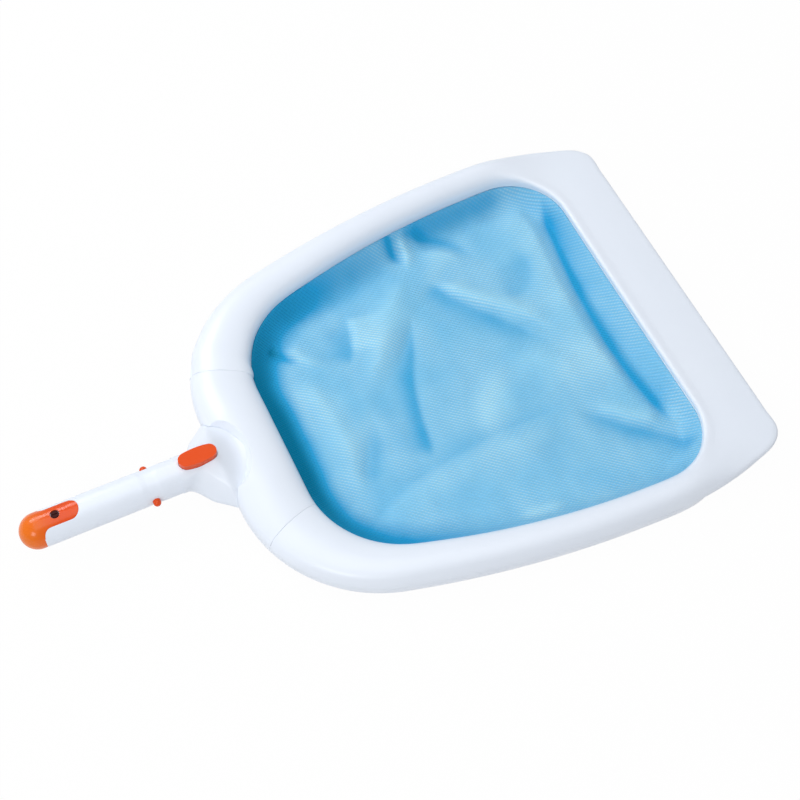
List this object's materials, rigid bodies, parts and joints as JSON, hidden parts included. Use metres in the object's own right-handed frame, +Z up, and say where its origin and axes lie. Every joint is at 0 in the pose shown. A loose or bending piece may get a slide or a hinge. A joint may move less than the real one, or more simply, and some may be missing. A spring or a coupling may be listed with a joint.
{
  "type": "leaf skimmer net",
  "caption": "Flat leaf skimmer net with a hollow clamped frame, wide scoop lip, shallow mesh bag and a spigot with push-button snap pins for a pole.",
  "frame": {"origin": "under the middle of the whole length, on the symmetry plane, in the plane that the frame rests on", "axes": "+X from the handle to the scoop lip, +Y to the left of someone looking along +X, +Z up out of the open side of the net"},
  "size_m": [0.5751, 0.3704, 0.0444],
  "materials": {
    "frame_plastic": "glossy white, faintly blue",
    "inner_plastic": "satin",
    "orange_plastic": "glossy orange",
    "mesh": "fine woven mesh, light blue",
    "cord": "braided cord",
    "screw_steel": "stainless",
    "dark_screw": "dark",
    "spring_steel": "bright spring steel"
  },
  "bodies": {
    "skimmer": {"front_frame_upper": "frame_plastic", "front_frame_lower": "frame_plastic", "yoke_upper": "frame_plastic", "yoke_lower": "frame_plastic", "handle_body": "frame_plastic", "neck_cover": "frame_plastic", "joining_bar_left": "inner_plastic", "joining_bar_right": "inner_plastic", "mesh_bag": "mesh", "mesh_rim_cord": "cord", "front_frame_screws": "screw_steel", "yoke_screws": "screw_steel", "neck_screws": "screw_steel", "neck_cover_screws": "screw_steel", "nose_cap_screw": "dark_screw", "nose_cap": "orange_plastic", "clip_spring": "spring_steel", "button_spring": "spring_steel"},
    "button": {"release_button": "orange_plastic", "release_fork": "inner_plastic", "fork_screw": "screw_steel"},
    "left_pin": {"snap_pin_left": "orange_plastic"},
    "right_pin": {"snap_pin_right": "orange_plastic"}
  },
  "joints": [
    {"name": "button_press", "type": "slide", "parent": "skimmer", "child": "button", "axis": [0, 0, -1], "range_m": [0, 0.004], "stiffness_N_per_m": 600, "springref_m": -0.004, "deforming": ["button_spring"]},
    {"name": "left_pin_retract", "type": "slide", "parent": "skimmer", "child": "left_pin", "axis": [0, -1, 0], "range_m": [0, 0.00441], "deforming": ["clip_spring"]},
    {"name": "right_pin_retract", "type": "slide", "parent": "skimmer", "child": "right_pin", "axis": [0, 1, 0], "range_m": [0, 0.00441], "deforming": ["clip_spring"]}
  ],
  "couplings": [
    {"joint": "left_pin_retract", "follows": "button_press", "ratio": 1.1},
    {"joint": "right_pin_retract", "follows": "button_press", "ratio": 1.1}
  ]
}
